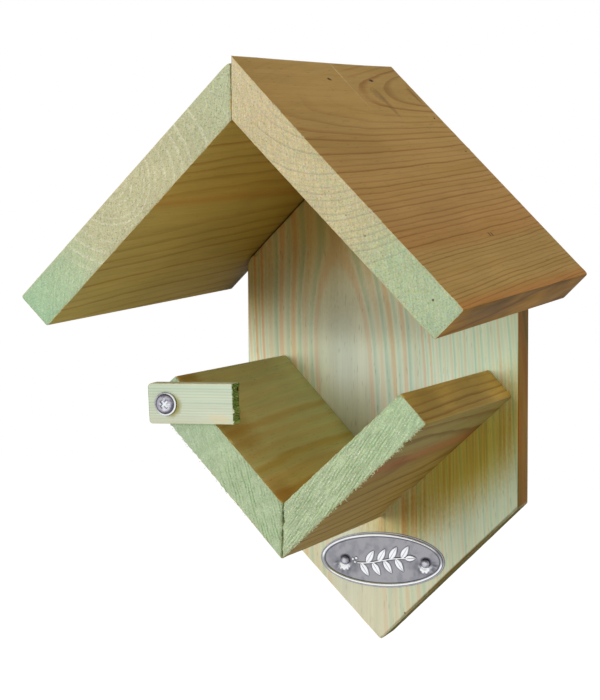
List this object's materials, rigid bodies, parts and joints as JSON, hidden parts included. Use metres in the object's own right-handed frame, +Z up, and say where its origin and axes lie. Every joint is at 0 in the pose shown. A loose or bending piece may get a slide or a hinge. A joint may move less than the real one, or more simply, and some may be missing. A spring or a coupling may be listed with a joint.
{
  "type": "bird feeder",
  "caption": "Roofed wooden wall feeder that holds a jar of peanut butter on its side in a V cradle, with a wooden turn button in front and a pointed back board.",
  "frame": {"origin": "centre of the hanging hole, in the plane of the back board's rear face, which lies on the wall", "axes": "+Z up, -Y away from the wall towards the open front, +X to the right seen from the front"},
  "size_m": [0.204, 0.198, 0.2904],
  "materials": {
    "treated_pine": "planed, pressure treated to a green tint, grain open at the sawn ends",
    "pale_pine": "planed strip of treated softwood, sawn ends",
    "pressed_aluminium": "pressed sheet with a bright raised rim",
    "bright_zinc": "bright zinc plated",
    "plain_steel": "plain drawn wire"
  },
  "bodies": {
    "feeder": {"back_board": "treated_pine", "roof_board_left": "treated_pine", "roof_board_right": "treated_pine", "cradle_board_left": "treated_pine", "cradle_board_right": "treated_pine", "button_screw": "bright_zinc", "oval_plate": "pressed_aluminium", "plate_nails": "bright_zinc", "ridge_brads": "plain_steel", "roof_brads_left": "plain_steel", "roof_brads_right": "plain_steel", "cradle_brads": "plain_steel", "cradle_screws_left": "plain_steel", "cradle_screws_right": "plain_steel"},
    "button": {"turn_button": "pale_pine"}
  },
  "joints": [
    {"name": "button_turn", "type": "hinge", "parent": "feeder", "child": "button", "pos_m": [-0.05293, -0.1519, -0.09349], "axis": [0, -1, 0], "continuous": true}
  ]
}
